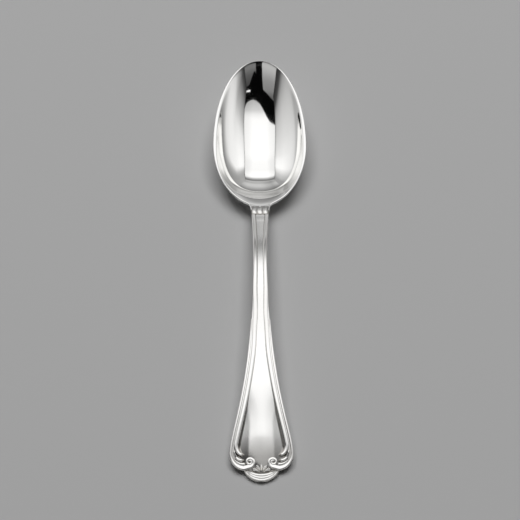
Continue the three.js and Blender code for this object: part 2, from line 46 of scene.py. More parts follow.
# Bowl
BOWL_WIDTH = 34.8
BOWL_TIP_RUN = 32.2
BOWL_HEEL_RUN = 22.9
BOWL_TIP_FULLNESS = 2.05
BOWL_HEEL_FULLNESS = 1.95
HOLLOW_HEEL_FULLNESS = 2.35
BOWL_DEPTH = 8
BOWL_HOLLOW = 2.8
BOWL_WALL = 1.5
BOWL_PITCH = 13
BELLY_FLAT = 0.3
LIP_SIDE = 1.1
LIP_TIP = 0.35
LIP_HEEL = 5.3
LIP_EDGE = 0.5
LIP_SOFTNESS = 0.15  # rounding where the hollow meets the lip
HOLLOW_BOWL_SHARE = 0.75  # share of the hollow's depth that is a plain bowl, the rest is its steep rim
HOLLOW_RIM_POWER = 6
HOLLOW_TILT = 0.035  # slope that moves the deepest place towards the heel
LEDGE_DROP = 2.3  # how far the heel's ledge falls towards the hollow
LEDGE_CURVE = 1.2
LEDGE_PAST = 0.25  # share of its width by which the ledge's slope runs on into the hollow
LEDGE_SPREAD = 62
LEDGE_HOLLOW_RUN = 2.3  # how much further the hollow's own oval reaches under the ledge

# Neck
NECK_WIDTH = 6.75
NECK_SLOPE = 12
NECK_TURN = 9
NECK_BLEND = 1.2
TONGUE_LENGTH = 2.4
TONGUE_THICKNESS = 1.2
DROP_LENGTH = 9.5
DROP_END_THICKNESS = 0.5
DROP_INSET = 0.3
DROP_CROWN = 0.75
COLLAR_LENGTH = 3.4
COLLAR_OVERLAP = 1.9
COLLAR_INSET = 0.2
COLLAR_RISE = 0.7

# Handle
WAIST_WIDTH = 5.1
WAIST_BEFORE_NECK = 20
CREST_BEFORE_NECK = 39
CREST_ROUNDING = 30
END_HEIGHT = 1.2
END_THICKNESS = 2.2
NECK_THICKNESS = 3.2
EDGE_THICKNESS = 1.8
EDGE_ROUNDING = 0.45
STEM_TAPER = 0.666
LOBE_TAPER = 0.118
END_LOBE_RADIUS = 7.1
SIDE_LOBE_RADIUS = 5.5
SIDE_LOBE_X = 5.7
SIDE_LOBE_S = 9.3

# Threads and panel
OUTER_THREAD_WIDTH = 0.85
OUTER_THREAD_TIP = 0.35
OUTER_THREAD_RISE = 0.6
OUTER_THREAD_AFTER_WAIST = 25
OUTER_THREAD_FADE = 14
THREAD_GROOVE = 0.3
INNER_THREAD_WIDTH = 1.55
INNER_THREAD_RISE = 0.75
STEM_GROOVE = 0.08
VALLEY_WIDTH = 1.7
VALLEY_FULL_S = 16
VALLEY_START_S = 29
VALLEY_SLOPE = 0.3
PANEL_CURVE = 0.006  # the panel falls by this times the square of the distance from its middle
PANEL_FLANK_SHARE = 0.4  # share of the panel's half width at which its flank turns down
PANEL_FLANK_SLOPE = 0.25
PANEL_FLANK_SOFTNESS = 1.8
PANEL_FLANK_FULL_S = 20
PANEL_FLANK_FADE_S = 37
PANEL_FLANK_LEAST = 0.2  # share of the flank's slope that is left where it has faded
PANEL_CREST = 0.65
PANEL_BREAK_S = 15.8  # above this place the panel's middle line sinks a little
PANEL_BREAK_SOFTNESS = 0.35
PANEL_SINK_SLOPE = 0.033
PANEL_SINK_RUN = 12.5
PANEL_SINK_SOFTNESS = 5
PANEL_ROUND_S = 8
PANEL_END_S = 3.4
STEM_RIB_RISE = 0.3
STEM_RIB_START_S = 27
STEM_RIB_FULL_S = 62
STEM_GROOVE_DEPTH = 0.14

# Scrolls and palmette
ARM_WIDTH = 1.7
VOLUTE_X = 4.1
VOLUTE_S = 6.8
VOLUTE_RADIUS = 1.5
VOLUTE_EYE_RADIUS = 0.3
VOLUTE_END_WIDTH = 0.6
VOLUTE_TURN = 600
LOBE_WRAP = 84
HOOK_START = 13.2
HOOK_EYE_RADIUS = 0.9
HOOK_END_WIDTH = 0.95
HOOK_END_ANGLE = 7
LEAF_WIDTH = 1.25
LEAF_TIP = 0.5
LEAF_GROOVE = 0.2
LEAF_RISE = 0.7
UPPER_LEAF_CURL = 2
UPPER_LEAF_END_ANGLE = 68
LOWER_LEAF_CURL = 0.9
LOWER_LEAF_END_ANGLE = 92
RIPPLE_COUNT = 3
RIPPLE_WIDTH = 0.85
RIPPLE_RISE = 0.5
RIPPLE_FALL = 0.16  # each ripple falls by this from its front crest to its back
RIPPLE_ARC = 10.4
PETAL_COUNT = 5
PETAL_RISE = 1.0
PETAL_ROOT_GAP = 0.3
PETAL_CLEARANCE = -0.2
PALMETTE_HEIGHT = 3.3
PETAL_SCALLOP = 0.18
RELIEF_SINK = 0.6  # how far raised work reaches into the field under it
INNER_THREAD_SINK = 1.5  # deep enough for the floor of the valley beside it
RIB_SHOULDER = 0.3  # share of a rib's rise at which its round top starts
RIB_LEAN = 0.14  # slope by which raised work faces up the handle
UPPER_LEAF_BEADS = 2
BEAD_WAIST = 0.6  # share of its height that a beaded leaf keeps between its beads

# Places that follow from the sizes above
bowl_s = LENGTH - BOWL_TIP_RUN
heel_s = bowl_s - BOWL_HEEL_RUN
neck_s = heel_s - TONGUE_LENGTH
crest_s = neck_s - CREST_BEFORE_NECK
waist_s = neck_s - WAIST_BEFORE_NECK
collar_start = neck_s + COLLAR_OVERLAP - COLLAR_LENGTH
thread_end = collar_start
outer_thread_start = waist_s - OUTER_THREAD_AFTER_WAIST
pitch_slope = math.tan(math.radians(BOWL_PITCH))
neck_slope = math.tan(math.radians(NECK_SLOPE))
outer_depth = BOWL_DEPTH + BOWL_WALL


# Helpers
HALVINGS = 40
TINY = 1e-6


def lerp(a, b, t):
    return a + (b - a) * t


def clamp(value):
    return min(1.0, max(0.0, value))


def smoothstep(value, low, high):
    t = clamp((value - low) / (high - low))
    return t * t * (3 - 2 * t)


def smooth_max(a, b, blend):
    return (a + b + math.hypot(a - b, 2 * blend)) / 2


def smooth_min(a, b, blend):
    return (a + b - math.hypot(a - b, 2 * blend)) / 2


def steps(start, end, count):
    return [lerp(start, end, i / count) for i in range(count + 1)]


def last_place(holds, low, high):
    """The far end of the stretch from low on which the condition holds, found by halving."""
    for _ in range(HALVINGS):
        middle = (low + high) / 2
        if holds(middle):
            low = middle
        else:
            high = middle
    return low


def place(x, s, z):
    return (x * MM, (s - LENGTH / 2) * MM, z * MM)


def plan_of(co):
    return co.x / MM, co.y / MM + LENGTH / 2, co.z / MM


# Heights and outlines of the bowl
belly_run = BOWL_HEEL_RUN * (
    pitch_slope * BOWL_HEEL_RUN / (BOWL_HOLLOW * (outer_depth - LIP_EDGE))
) ** (1 / (BOWL_HOLLOW - 1))
belly_drop = pitch_slope * belly_run + LIP_EDGE + (outer_depth - LIP_EDGE) * (
    1 - (belly_run / BOWL_HEEL_RUN) ** BOWL_HOLLOW
)
lip_height = belly_drop - BELLY_FLAT


def egg_outline(half, tip_run, heel_run, heel_fullness):
    return {"half": half, "tip": (tip_run, BOWL_TIP_FULLNESS), "heel": (heel_run, heel_fullness)}


hollow_half = BOWL_WIDTH / 2 - LIP_SIDE
hollow_tip_run = BOWL_TIP_RUN - LIP_TIP
ledge_run = BOWL_HEEL_RUN - LIP_HEEL
hollow_heel_run = ledge_run + LEDGE_HOLLOW_RUN
OUTER_OVAL = egg_outline(BOWL_WIDTH / 2, BOWL_TIP_RUN, BOWL_HEEL_RUN, BOWL_HEEL_FULLNESS)
LEDGE_OVAL = egg_outline(hollow_half, hollow_tip_run, ledge_run, HOLLOW_HEEL_FULLNESS)
HOLLOW_OVAL = egg_outline(hollow_half, hollow_tip_run, hollow_heel_run, HOLLOW_HEEL_FULLNESS)


def lip_z(s):
    turned = max(0, neck_s + NECK_TURN - s)
    turn = (pitch_slope + neck_slope) * turned * turned / (2 * NECK_TURN)
    return lip_height + pitch_slope * (s - bowl_s) + turn


def oval_reach(oval, x, s):
    """How far out a place lies, as a share of the oval: 0 in its middle and 1 on its line."""
    run, fullness = oval["tip"] if s > bowl_s else oval["heel"]
    across = (abs(x) / oval["half"]) ** fullness
    along = (abs(s - bowl_s) / run) ** fullness
    return (across + along) ** (1 / fullness)


def oval_half_width(oval, s):
    run, fullness = oval["tip"] if s > bowl_s else oval["heel"]
    along = (abs(s - bowl_s) / run) ** fullness
    return oval["half"] * max(0, 1 - along) ** (1 / fullness)


def ledge_z(x, s):
    """The ledge between hollow and lip, measured from the lip. It falls away only at the heel."""
    angle = math.degrees(math.atan2(abs(x), bowl_s - s))
    if angle > LEDGE_SPREAD:
        return 0
    inner = oval_reach(LEDGE_OVAL, x, s)
    outer = oval_reach(OUTER_OVAL, x, s)
    across = (inner - 1) / max(TINY, inner - outer)
    fall = LEDGE_DROP * (1 - min(1, max(-LEDGE_PAST, across))) ** LEDGE_CURVE
    return -fall * math.cos(math.radians(90 * angle / LEDGE_SPREAD)) ** 2


def bowl_top_z(x, s):
    reach = oval_reach(HOLLOW_OVAL, x, s)
    hollow = lerp(reach ** HOLLOW_RIM_POWER, reach ** 2, HOLLOW_BOWL_SHARE)
    tilt = HOLLOW_TILT * (s - bowl_s) * max(0, 1 - reach * reach)
    wall = BOWL_DEPTH * (hollow - 1) + tilt
    return lip_z(s) + smooth_min(wall, ledge_z(x, s), LIP_SOFTNESS)


def bowl_edge(s):
    return lerp(TONGUE_THICKNESS, LIP_EDGE, smoothstep(s, heel_s, heel_s + DROP_LENGTH))


def bowl_under_z(x, s):
    edge = bowl_edge(s)
    hollow = max(0, 1 - oval_reach(OUTER_OVAL, x, s) ** BOWL_HOLLOW)
    return max(0, lip_z(s) - edge - (outer_depth - edge) * hollow)


def neck_half_width(s):
    flare = (s - waist_s) / (neck_s - waist_s)
    return WAIST_WIDTH / 2 + (NECK_WIDTH - WAIST_WIDTH) / 2 * flare * flare


def bowl_half_width(s):
    oval = oval_half_width(OUTER_OVAL, s)
    if s > bowl_s:
        return oval
    blend = NECK_BLEND * smoothstep(s, neck_s, heel_s) * (1 - smoothstep(s, heel_s, bowl_s))
    return smooth_max(oval, neck_half_width(min(s, heel_s)), blend)


# Heights and outlines of the handle
taper_length = waist_s - SIDE_LOBE_S
end_half_width = SIDE_LOBE_X + SIDE_LOBE_RADIUS
crest_height = lip_z(neck_s) + neck_slope * CREST_BEFORE_NECK / 2


def cubic(values, t):
    a, b, c, d = values
    u = 1 - t
    return a * u ** 3 + 3 * b * t * u * u + 3 * c * t * t * u + d * t ** 3


def taper_half_width(s):
    """An S curve from the waist out to the side lobe."""
    places = (
        SIDE_LOBE_S,
        SIDE_LOBE_S + LOBE_TAPER * taper_length,
        waist_s - STEM_TAPER * taper_length,
        waist_s,
    )
    widths = (end_half_width, end_half_width, WAIST_WIDTH / 2, WAIST_WIDTH / 2)
    return cubic(widths, last_place(lambda t: cubic(places, t) < s, 0, 1))


def handle_half_width(s):
    if s > waist_s:
        return neck_half_width(s)
    if s > SIDE_LOBE_S:
        return taper_half_width(s)
    side = SIDE_LOBE_RADIUS ** 2 - (SIDE_LOBE_S - s) ** 2
    end = END_LOBE_RADIUS ** 2 - (END_LOBE_RADIUS - s) ** 2
    side_reach = SIDE_LOBE_X + math.sqrt(side) if side > 0 else 0
    return max(side_reach, math.sqrt(max(0, end)))


def crest_fall(run):
    return math.hypot(run, CREST_ROUNDING) - CREST_ROUNDING


def field_z(s):
    if s < crest_s:
        return crest_height - (crest_height - END_HEIGHT) * crest_fall(crest_s - s) / crest_fall(crest_s)
    return crest_height - neck_slope * (s - crest_s) ** 2 / (2 * CREST_BEFORE_NECK)


def handle_thickness(s):
    return lerp(END_THICKNESS, NECK_THICKNESS, (s / neck_s) ** 2)


def outer_thread_width(s):
    fade = smoothstep(s, outer_thread_start - OUTER_THREAD_FADE, outer_thread_start)
    return lerp(OUTER_THREAD_WIDTH, OUTER_THREAD_TIP, fade)


def inner_thread_inset(s):
    beside = 1 - smoothstep(s, outer_thread_start, outer_thread_start + OUTER_THREAD_FADE)
    return (outer_thread_width(s) + THREAD_GROOVE) * beside


def valley_width(s):
    widened = clamp((VALLEY_START_S - s) / (VALLEY_START_S - VALLEY_FULL_S))
    return lerp(STEM_GROOVE, VALLEY_WIDTH, widened)


def panel_half_width(s):
    beside = max(s, PANEL_ROUND_S)
    thread_edge = handle_half_width(beside) - inner_thread_inset(beside) - INNER_THREAD_WIDTH
    half = thread_edge - valley_width(beside)
    past = clamp((PANEL_ROUND_S - s) / (PANEL_ROUND_S - PANEL_END_S))
    return half * math.sqrt(1 - past * past)


def panel_crest(s):
    beyond = smooth_max(s - PANEL_BREAK_S, 0, PANEL_BREAK_SOFTNESS)
    sunk = PANEL_CREST - PANEL_SINK_SLOPE * smooth_min(beyond, PANEL_SINK_RUN, PANEL_SINK_SOFTNESS)
    rib = STEM_RIB_RISE * (1 - smoothstep(s, thread_end - COLLAR_LENGTH, thread_end))
    return lerp(sunk, rib, smoothstep(s, STEM_RIB_START_S, STEM_RIB_FULL_S))


def handle_relief(x, s):
    """Height of the handle's top over its plain field: a domed panel between two valleys."""
    half, valley = panel_half_width(s), valley_width(s)
    beyond = abs(x) - half
    if beyond > valley + INNER_THREAD_WIDTH / 2:
        return 0
    inside = min(abs(x), half)
    flank = smooth_max(inside - PANEL_FLANK_SHARE * half, 0, PANEL_FLANK_SOFTNESS)
    fade = lerp(1, PANEL_FLANK_LEAST, smoothstep(s, PANEL_FLANK_FULL_S, PANEL_FLANK_FADE_S))
    dome = panel_crest(s) - PANEL_CURVE * inside * inside - PANEL_FLANK_SLOPE * fade * flank
    if beyond < 0:
        return dome
    groove = STEM_GROOVE_DEPTH * smoothstep(s, STEM_RIB_START_S, STEM_RIB_FULL_S)
    return dome - groove - VALLEY_SLOPE * beyond


# Mesh helpers
SHARP_ANGLE = 50


def add_piece(name, material, build, recess=None):
    """One closed, smooth piece that stands for the node of the same name."""
    bm = bmesh.new()
    build(bm)
    bmesh.ops.recalc_face_normals(bm, faces=bm.faces)
    mesh = bpy.data.meshes.new(name + "_mesh")
    bm.to_mesh(mesh)
    bm.free()
    mesh.shade_smooth()
    mesh.set_sharp_from_angle(angle=math.radians(SHARP_ANGLE))
    # Share of tarnish and painted shade at each point, from the recess function
    tarnish_and_shade_mask = mesh.attributes.new("recess", "FLOAT", "POINT")
    values = [0.0] * len(mesh.vertices)
    if recess:
        values = [recess(*plan_of(v.co)) for v in mesh.vertices]
    tarnish_and_shade_mask.data.foreach_set("value", values)
    mesh.materials.append(material)
    piece = bpy.data.objects.new(name + "_visual", mesh)
    bpy.context.scene.collection.objects.link(piece)
    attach(piece, "root")
    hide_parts(name)
    return piece


def loft(bm, rings, start=None, end=None):
    """Skin over closed rings of equal length. Each end is a pole point or, without one, a flat cap."""
    rows = [[bm.verts.new(point) for point in ring] for ring in rings]
    count = len(rows[0])
    for a, b in zip(rows, rows[1:]):
        for i in range(count):
            j = (i + 1) % count
            bm.faces.new((a[i], a[j], b[j], b[i]))
    for row, pole in ((rows[0], start), (rows[-1], end)):
        if pole is None:
            bm.faces.new(row)
        else:
            tip = bm.verts.new(pole)
            for i in range(count):
                bm.faces.new((row[i], row[(i + 1) % count], tip))


# Bowl
BOWL_RAYS = 360
RAY_CROWDING = 1.2  # over 1, the rays lie closer together towards the heel
HOLLOW_RINGS = 46
HOLLOW_FINE_FROM = 0.93
HOLLOW_FINE_RINGS = 12
LIP_RINGS = 9
EDGE_RINGS = 6
SKIN_RINGS = 44


def bowl_outline_radius(sin_a, cos_a):
    if cos_a < 0:
        return 1 / oval_reach(OUTER_OVAL, sin_a, bowl_s - cos_a)

    def inside(radius):
        s = bowl_s - radius * cos_a
        return s > neck_s and abs(radius * sin_a) < bowl_half_width(s)

    return last_place(inside, 0, BOWL_WIDTH)


def bowl_ray(angle):
    """Points from the hollow's middle out over the lip and back under the skin, along one direction."""
    sin_a, cos_a = math.sin(angle), math.cos(angle)
    hollow = 1 / oval_reach(LEDGE_OVAL, sin_a, bowl_s - cos_a)
    outline = bowl_outline_radius(sin_a, cos_a)

    def at(radius, height):
        x, s = radius * sin_a, bowl_s - radius * cos_a
        return place(x, s, height(x, s))

    edge_s = bowl_s - outline * cos_a
    rounding = bowl_edge(edge_s) / 2
    top_end = outline - rounding
    coarse = [hollow * HOLLOW_FINE_FROM * i / HOLLOW_RINGS for i in range(1, HOLLOW_RINGS + 1)]
    fine = [hollow * u for u in steps(HOLLOW_FINE_FROM, 1, HOLLOW_FINE_RINGS)[1:]]
    lip = steps(min(hollow, top_end), top_end, LIP_RINGS)[1:]
    top = [at(min(radius, top_end), bowl_top_z) for radius in coarse + fine + lip]
    edge_z = bowl_top_z(top_end * sin_a, bowl_s - top_end * cos_a)
    edge = []
    for turn in steps(0, 180, EDGE_RINGS)[1:]:
        radius = top_end + rounding * math.sin(math.radians(turn))
        z = edge_z - rounding * (1 - math.cos(math.radians(turn)))
        edge.append(at(radius, lambda x, s, z=z: z))
    skin = [at(top_end * (1 - i / SKIN_RINGS), bowl_under_z) for i in range(1, SKIN_RINGS)]
    return top + edge + skin


def build_bowl(bm):
    shares = [2 * i / BOWL_RAYS - 1 for i in range(BOWL_RAYS)]
    angles = [math.pi * math.copysign(abs(share) ** RAY_CROWDING, share) for share in shares]
    rays = [bowl_ray(angle) for angle in angles]
    rings = [list(ring) for ring in zip(*rays)]
    loft(
        bm,
        rings,
        start=place(0, bowl_s, bowl_top_z(0, bowl_s)),
        end=place(0, bowl_s, bowl_under_z(0, bowl_s)),
    )


# Handle
HANDLE_TOP = steps(-1, 1, 160)
HANDLE_UNDER = steps(1, -1, 40)
HANDLE_SIDE = steps(0, 180, 8)[1:-1]
NOTCH_ANGLE = 6  # where on the side lobe's round the end lobe takes over
LOBE_STEPS = 40
TAPER_STEPS = 150
NECK_STEPS = 50
DROP_STEPS = 30
DROP_LAST_SHARE = 0.995
LEAST_WIDTH = 0.35


def handle_section(half, top_z, under_z):
    """One ring across the handle, with half-round sides."""
    rounding = min(EDGE_ROUNDING, half / 2)
    flat = half - rounding
    top = [(u * flat, top_z(u * flat)) for u in HANDLE_TOP]
    under = [(u * flat, under_z(u * flat)) for u in HANDLE_UNDER]

    def side(sign, upper, lower):
        points = []
        for turn in HANDLE_SIDE:
            across = flat + rounding * math.sin(math.radians(turn))
            height = lerp(lower, upper, (1 + math.cos(math.radians(turn))) / 2)
            points.append((sign * across, height))
        return points

    right = side(1, top[-1][1], under[0][1])
    left = side(-1, top[0][1], under[-1][1])[::-1]
    return top + right + under + left


def handle_ring(s, half):
    field = field_z(s)
    thickness = handle_thickness(s)

    def top_z(x):
        return field + handle_relief(x, s)

    def under_z(x):
        return max(0, field - lerp(thickness, EDGE_THICKNESS, (x / half) ** 2))

    return [place(x, s, z) for x, z in handle_section(half, top_z, under_z)]


def drop_ring(s):
    along = (s - neck_s) / DROP_LENGTH
    half = (NECK_WIDTH / 2 - DROP_INSET) * math.sqrt(1 - along * along)
    thickness = lerp(NECK_THICKNESS - TONGUE_THICKNESS, DROP_END_THICKNESS, along)

    def top_z(x):
        return bowl_under_z(x, s) + RELIEF_SINK

    def under_z(x):
        return max(0, bowl_under_z(x, s) - thickness * (1 - DROP_CROWN * (x / half) ** 2))

    return [place(x, s, z) for x, z in handle_section(half, top_z, under_z)]


def handle_stations():
    turns = [math.radians(angle) for angle in steps(NOTCH_ANGLE, 90, LOBE_STEPS)]
    side = [SIDE_LOBE_S - SIDE_LOBE_RADIUS * math.cos(turn) for turn in turns]
    notch = math.acos(1 - side[0] / END_LOBE_RADIUS)
    end = [END_LOBE_RADIUS * (1 - math.cos(a)) for a in steps(0, notch, LOBE_STEPS)][1:-1]
    taper = steps(SIDE_LOBE_S, waist_s, TAPER_STEPS)[1:]
    neck = steps(waist_s, neck_s, NECK_STEPS)[1:]
    return end + side + taper + neck


def build_handle(bm):
    rings = [handle_ring(0, LEAST_WIDTH)]
    rings += [handle_ring(s, handle_half_width(s)) for s in handle_stations()]
    rings += [drop_ring(neck_s + share * DROP_LENGTH) for share in steps(0, DROP_LAST_SHARE, DROP_STEPS)]
    loft(bm, rings)


# Ribs along plan paths of (x, s, width)
RIB_TURNS = steps(-90, 90, 16)
RIB_LEAST_END = 0.04  # share of its width and rise that raised work keeps at its very end
OUTER_SQUARENESS = 3.2  # of a thread's or leaf's section: 2 is round, and more is squarer
INNER_SQUARENESS = 3
LEAF_SQUARENESS = 2.4
THREAD_STEPS = 360
LEAF_STEPS = 60
ARM_STEPS = 8
CURL_STEPS = 60
CURL_THINNING = 0.4  # under 1, the volute's arm thins early on its way in
OUTER_EDGE_STEPS = 120
OUTER_LOBE_STEPS = 50
INNER_RUN_STEPS = 200
CURVE_STEPS = 40


def resample(path, count):
    """The path at places that crowd towards both ends, with the distance to the nearer end."""
    run = [0.0]
    for a, b in zip(path, path[1:]):
        run.append(run[-1] + math.hypot(b[0] - a[0], b[1] - a[1]))
    total = run[-1]
    points = []
    k = 0
    for i in range(count + 1):
        want = total * (1 - math.cos(math.pi * i / count)) / 2
        while k < len(path) - 2 and run[k + 1] < want:
            k += 1
        t = clamp((want - run[k]) / (run[k + 1] - run[k]))
        x, s, width = (lerp(p, q, t) for p, q in zip(path[k], path[k + 1]))
        points.append((x, s, width, min(want, total - want)))
    return points


def round_end(distance, reach):
    """Share of the full size at a distance from an end that is rounded over the reach."""
    short = 1 - min(1, distance / reach)
    return max(RIB_LEAST_END, math.sqrt(1 - short * short))


def build_rib(path, rise, squareness, count, beads, sink):
    """A builder for one raised rib along the path, with a rounded section and rounded ends."""

    def build(bm):
        points = resample(path, count)
        rings = []
        for i, (x, s, width, distance) in enumerate(points):
            before, after = points[max(0, i - 1)], points[min(count, i + 1)]
            dx, ds = after[0] - before[0], after[1] - before[1]
            length = math.hypot(dx, ds)
            nx, ns = ds / length, -dx / length
            share = round_end(distance, width / 2)
            swell = lerp(BEAD_WAIST, 1, abs(math.sin(math.pi * beads * i / count))) if beads else 1
            ring = []
            for turn in RIB_TURNS:
                across = math.sin(math.radians(turn))
                u = math.copysign(abs(across) ** (2 / squareness), across) * share * width / 2
                crown = max(0, math.cos(math.radians(turn))) ** (2 / squareness)
                height = rise * share * swell * lerp(RIB_SHOULDER, 1, crown) - RIB_LEAN * ns * u
                ring.append(place(x + nx * u, s + ns * u, field_z(s + ns * u) + height))
            for u in (share * width / 2, -share * width / 2):
                ring.append(place(x + nx * u, s + ns * u, field_z(s + ns * u) - sink))
            rings.append(ring)
        loft(bm, rings)

    return build


def on_side(path, side):
    return [(side * x, s, width) for x, s, width in path]


def lobe_point(radius, angle, width):
    turn = math.radians(angle)
    return SIDE_LOBE_X + radius * math.cos(turn), SIDE_LOBE_S - radius * math.sin(turn), width


def volute_from(start):
    """A straight arm from the start, then a spiral about the volute's eye."""
    to_x, to_s = VOLUTE_X - start[0], VOLUTE_S - start[1]
    distance = math.hypot(to_x, to_s)
    arm_angle = math.atan2(to_s, to_x) + math.asin(VOLUTE_RADIUS / distance)
    arm_length = math.sqrt(distance ** 2 - VOLUTE_RADIUS ** 2)
    arm = []
    for share in steps(0, 1, ARM_STEPS)[1:-1]:
        run = share * arm_length
        arm.append((start[0] + run * math.cos(arm_angle), start[1] + run * math.sin(arm_angle), ARM_WIDTH))
    curl = []
    for t in steps(0, 1, CURL_STEPS):
        angle = arm_angle + math.pi / 2 - math.radians(VOLUTE_TURN * t)
        radius = lerp(VOLUTE_RADIUS, VOLUTE_EYE_RADIUS, t)
        width = lerp(ARM_WIDTH, VOLUTE_END_WIDTH, t ** CURL_THINNING)
        curl.append((VOLUTE_X + radius * math.cos(angle), VOLUTE_S + radius * math.sin(angle), width))
    return arm + curl


def outer_thread_path():
    edge = []
    for s in steps(outer_thread_start, SIDE_LOBE_S, OUTER_EDGE_STEPS):
        width = outer_thread_width(s)
        edge.append((handle_half_width(s) - width / 2, s, width))
    lobe = []
    for angle in steps(0, LOBE_WRAP, OUTER_LOBE_STEPS):
        width = lerp(OUTER_THREAD_WIDTH, ARM_WIDTH, smoothstep(angle, 0, LOBE_WRAP))
        lobe.append(lobe_point(SIDE_LOBE_RADIUS - width / 2, angle, width))
    return edge + lobe[1:] + volute_from(lobe[-1])


def inner_thread_x(s):
    return handle_half_width(s) - inner_thread_inset(s) - INNER_THREAD_WIDTH / 2


hook_x = inner_thread_x(HOOK_START) - SIDE_LOBE_X
hook_s = HOOK_START - SIDE_LOBE_S
hook_radius = math.hypot(hook_x, hook_s)
hook_start_angle = -math.degrees(math.atan2(hook_s, hook_x))


def inner_thread_path():
    places = steps(thread_end, HOOK_START, INNER_RUN_STEPS)
    run = [(inner_thread_x(s), s, INNER_THREAD_WIDTH) for s in places]
    hook = []
    for t in steps(0, 1, CURVE_STEPS)[1:]:
        width = lerp(INNER_THREAD_WIDTH, HOOK_END_WIDTH, t)
        angle = lerp(hook_start_angle, HOOK_END_ANGLE, t)
        hook.append(lobe_point(lerp(hook_radius, HOOK_EYE_RADIUS, t), angle, width))
    return run + hook


leaf_start_radius = SIDE_LOBE_RADIUS - OUTER_THREAD_WIDTH - THREAD_GROOVE - LEAF_TIP / 2


def clear_angle(start_radius, end_radius, start_angle, end_angle, width):
    """The angle at which a curl has drawn in far enough for the next leaf to start outside it."""
    room = leaf_start_radius - (LEAF_TIP + width) / 2 - LEAF_GROOVE
    return lerp(start_angle, end_angle, (start_radius - room) / (start_radius - end_radius))


upper_leaf_end_radius = leaf_start_radius - UPPER_LEAF_CURL
lower_leaf_end_radius = leaf_start_radius - LOWER_LEAF_CURL
upper_leaf_start_angle = clear_angle(
    hook_radius, HOOK_EYE_RADIUS, hook_start_angle, HOOK_END_ANGLE, INNER_THREAD_WIDTH
)
lower_leaf_start_angle = clear_angle(
    leaf_start_radius, upper_leaf_end_radius, upper_leaf_start_angle, UPPER_LEAF_END_ANGLE, LEAF_WIDTH
)


def leaf_path(end_radius, start_angle, end_angle):
    path = []
    for t in steps(0, 1, CURVE_STEPS):
        width = lerp(LEAF_TIP, LEAF_WIDTH, math.sin(t * math.pi / 2))
        radius = lerp(leaf_start_radius, end_radius, t)
        path.append(lobe_point(radius, lerp(start_angle, end_angle, t), width))
    return path


# Ripples along the end lobe
RIPPLE_TURNS = 110
RIPPLE_FRONT = 2 / 7  # share of a ripple's width that its steep front takes
STEPS_PER_RIPPLE = 14
RIPPLE_EDGE_GAP = 0.1
ripple_outer_radius = END_LOBE_RADIUS - EDGE_ROUNDING / 2
ripple_root_s = RIPPLE_COUNT * RIPPLE_WIDTH + RIPPLE_EDGE_GAP


def ripple_inner_radius(angle):
    offset = ripple_root_s + RIPPLE_ARC - END_LOBE_RADIUS
    return math.sqrt(RIPPLE_ARC ** 2 - (offset * math.sin(angle)) ** 2) - offset * math.cos(angle)


def ripple_half_angle():
    angles = []
    for x, s, width in outer_thread_path():
        radius = math.hypot(x, END_LOBE_RADIUS - s)
        angle = math.atan2(x, END_LOBE_RADIUS - s)
        if radius >= ripple_inner_radius(angle):
            angles.append(angle - math.asin((width / 2 + THREAD_GROOVE) / radius))
    return min(angles)


def build_ripples(bm):
    half_angle = ripple_half_angle()
    rings = []
    for angle in steps(half_angle, -half_angle, RIPPLE_TURNS):
        inner = ripple_inner_radius(angle)
        fade = round_end((half_angle - abs(angle)) * END_LOBE_RADIUS, RIPPLE_WIDTH / 2)

        def at(radius, height):
            s = END_LOBE_RADIUS - radius * math.cos(angle)
            return place(radius * math.sin(angle), s, field_z(s) + height)

        ring = []
        for t in steps(0, 1, RIPPLE_COUNT * STEPS_PER_RIPPLE):
            along = RIPPLE_COUNT * t % 1
            if along < RIPPLE_FRONT:
                below = 1 - along / RIPPLE_FRONT
            else:
                below = (along - RIPPLE_FRONT) / (1 - RIPPLE_FRONT)
            height = fade * (RIPPLE_RISE - RIPPLE_FALL * below)
            ring.append(at(lerp(ripple_outer_radius, inner, t), height))
        ring += [at(inner, -RELIEF_SINK), at(ripple_outer_radius, -RELIEF_SINK)]
        rings.append(ring)
    loft(bm, rings)


# Palmette
PETAL_TURNS = 26
PETAL_ROOT_SHARE = 0.06
PETAL_RUN = steps(PETAL_ROOT_SHARE, 1, 20)
PETAL_VALLEY = 0.12
PETAL_FOOT = 0.15  # share of its rise that a petal keeps at its tip
PETAL_CREST_PLACE = 0.7  # under 1, a petal is highest nearer to its root
PETAL_FULLNESS = 0.6
petal_root_s = ripple_root_s + PETAL_ROOT_GAP


def palmette_half_width():
    reaches = [math.hypot(x, s - petal_root_s) - width / 2 for x, s, width in outer_thread_path()]
    return min(reaches) - PETAL_CLEARANCE


def build_palmette(bm):
    half = palmette_half_width()
    fan = math.acos(half / (2 * (RIPPLE_ARC - PETAL_ROOT_GAP)))
    rings = []
    for angle in steps(-fan, fan, PETAL_COUNT * PETAL_TURNS):
        petal = abs(math.sin(math.pi * PETAL_COUNT * (angle + fan) / (2 * fan)))
        reach = 1 / math.hypot(math.sin(angle) / half, math.cos(angle) / PALMETTE_HEIGHT)
        length = reach * (1 - PETAL_SCALLOP * (1 - petal))

        def at(share, height):
            s = petal_root_s + share * length * math.cos(angle)
            return place(share * length * math.sin(angle), s, field_z(s) + height)

        ring = []
        for share in PETAL_RUN:
            swell = math.sin(math.pi * share ** PETAL_CREST_PLACE) ** PETAL_FULLNESS if share < 1 else 0
            height = PETAL_RISE * lerp(PETAL_FOOT, 1, swell) * lerp(PETAL_VALLEY, 1, petal)
            ring.append(at(share, height))
        ring += [at(1, -RELIEF_SINK), at(PETAL_ROOT_SHARE, -RELIEF_SINK)]
        rings.append(ring)
    loft(bm, rings)


# Collar over the seam of stem and bowl
BOSS_COUNT = 3
BOSS_SHARES = steps(-1, 1, 60)
BOSS_VALLEY = 0.35
COLLAR_STEPS = 40
COLLAR_END = 0.4
COLLAR_SIDE_POWER = 6  # the higher, the later the collar falls off towards its sides


